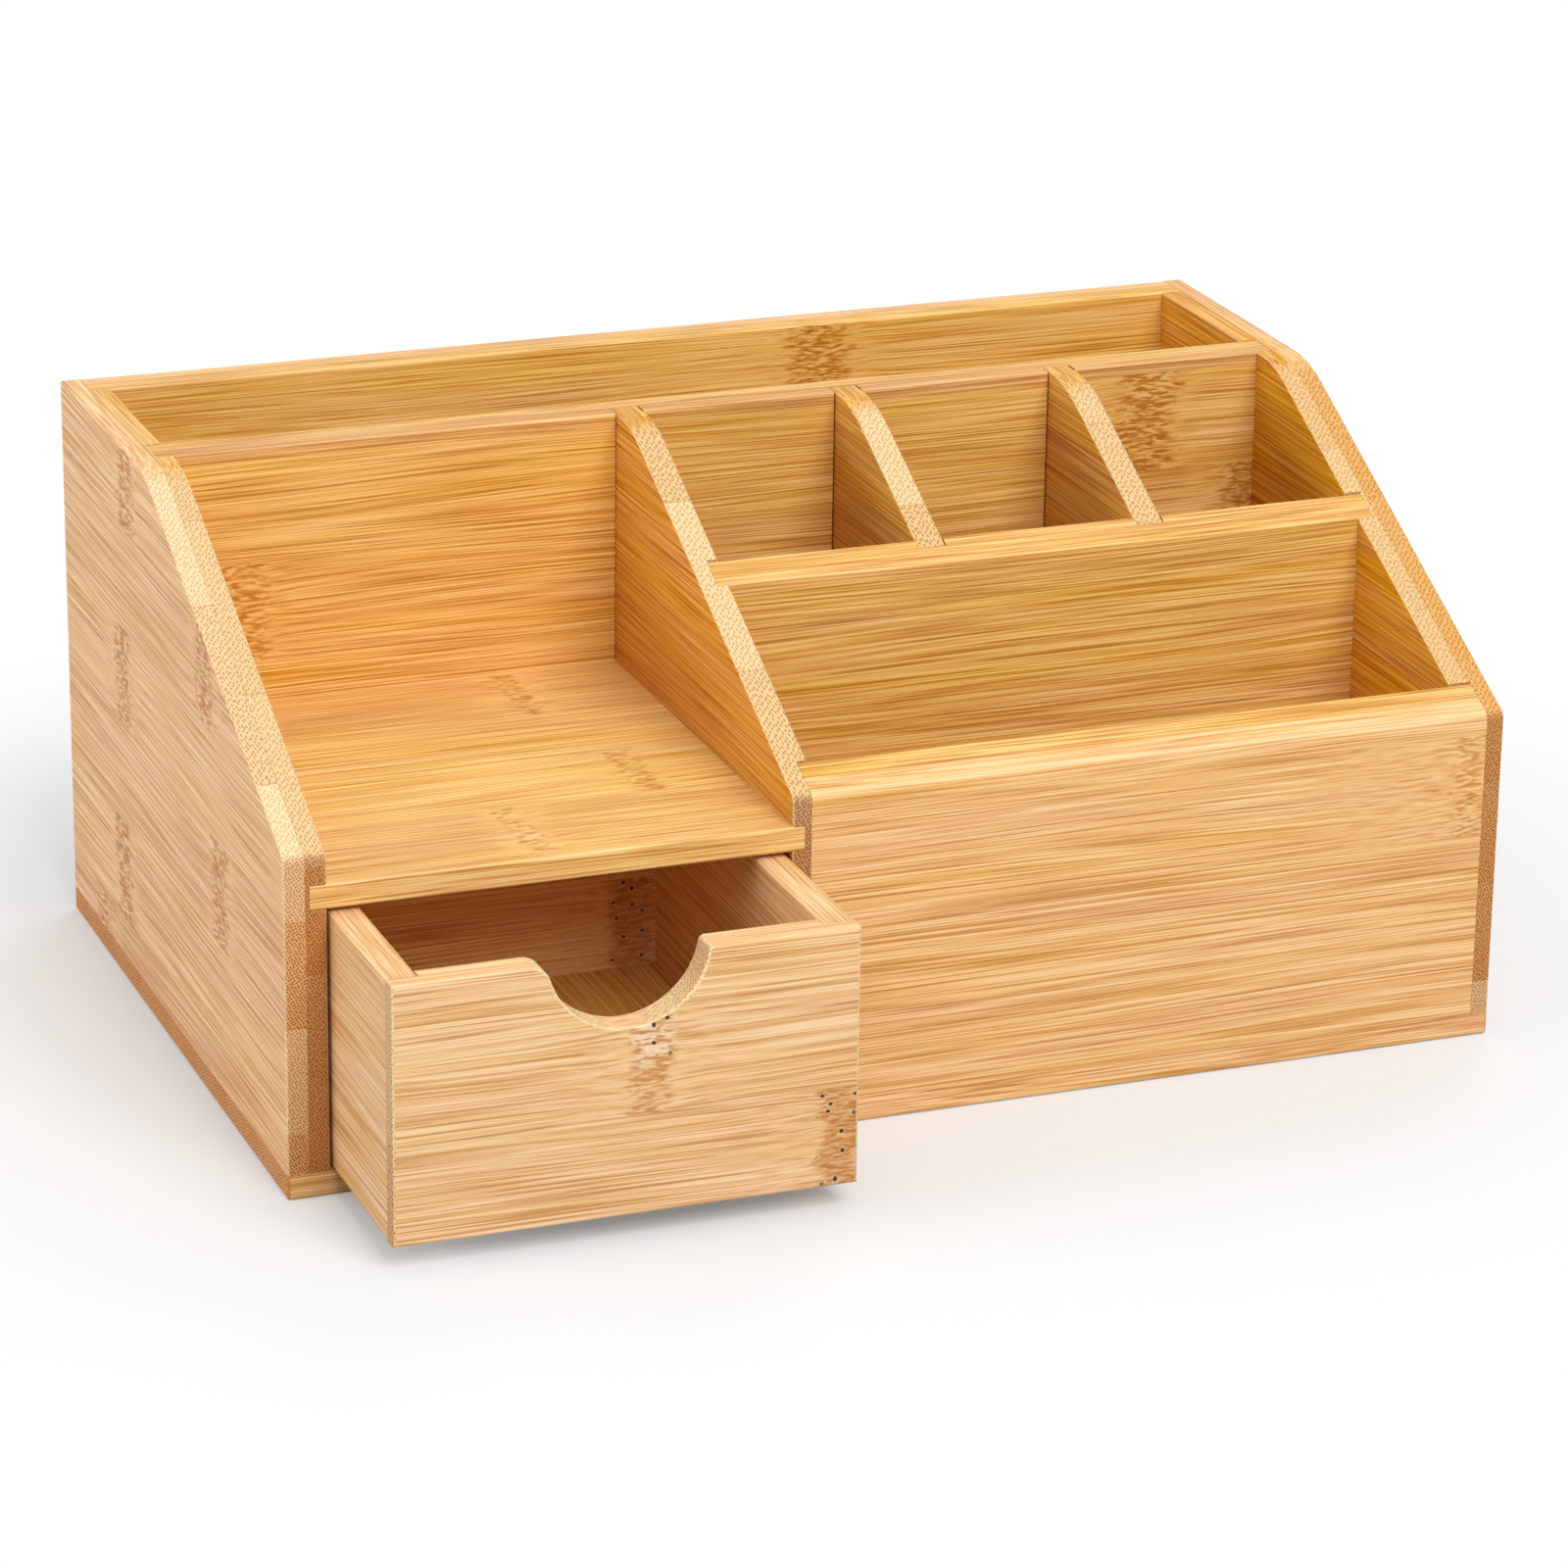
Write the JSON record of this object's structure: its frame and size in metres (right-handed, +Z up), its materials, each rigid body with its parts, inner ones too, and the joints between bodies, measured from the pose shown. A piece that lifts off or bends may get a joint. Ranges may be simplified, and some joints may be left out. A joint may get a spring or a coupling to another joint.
{
  "type": "desk tidy with drawer",
  "caption": "Bamboo desk tidy with sloping sides, a letter slot across the back, upright pen compartments, a front compartment, and a note shelf over a pull-out drawer with a finger notch.",
  "frame": {"origin": "middle of the base board's underside, on the desk", "axes": "+X to the right as seen from the front, +Y to the back, +Z up from the desk"},
  "size_m": [0.3, 0.235, 0.138],
  "materials": {
    "bamboo_carcass": "clear satin lacquer on strip-laminated bamboo",
    "bamboo_inner": "clear satin lacquer on strip-laminated bamboo",
    "bamboo_drawer": "clear satin lacquer on strip-laminated bamboo"
  },
  "bodies": {
    "carcass": {"base_board": "bamboo_carcass", "left_side_panel": "bamboo_carcass", "right_side_panel": "bamboo_carcass", "back_panel": "bamboo_carcass", "front_panel": "bamboo_carcass", "letter_partition": "bamboo_inner", "bay_partition": "bamboo_inner", "bay_shelf": "bamboo_inner", "pen_wall": "bamboo_inner", "pen_divider_1": "bamboo_inner", "pen_divider_2": "bamboo_inner"},
    "drawer": {"drawer_front": "bamboo_drawer", "drawer_left_side": "bamboo_drawer", "drawer_right_side": "bamboo_drawer", "drawer_back": "bamboo_drawer", "drawer_bottom": "bamboo_drawer"}
  },
  "joints": [
    {"name": "drawer_slide", "type": "slide", "parent": "carcass", "child": "drawer", "axis": [0, -1, 0], "range_m": [-0.045, 0.056]}
  ]
}
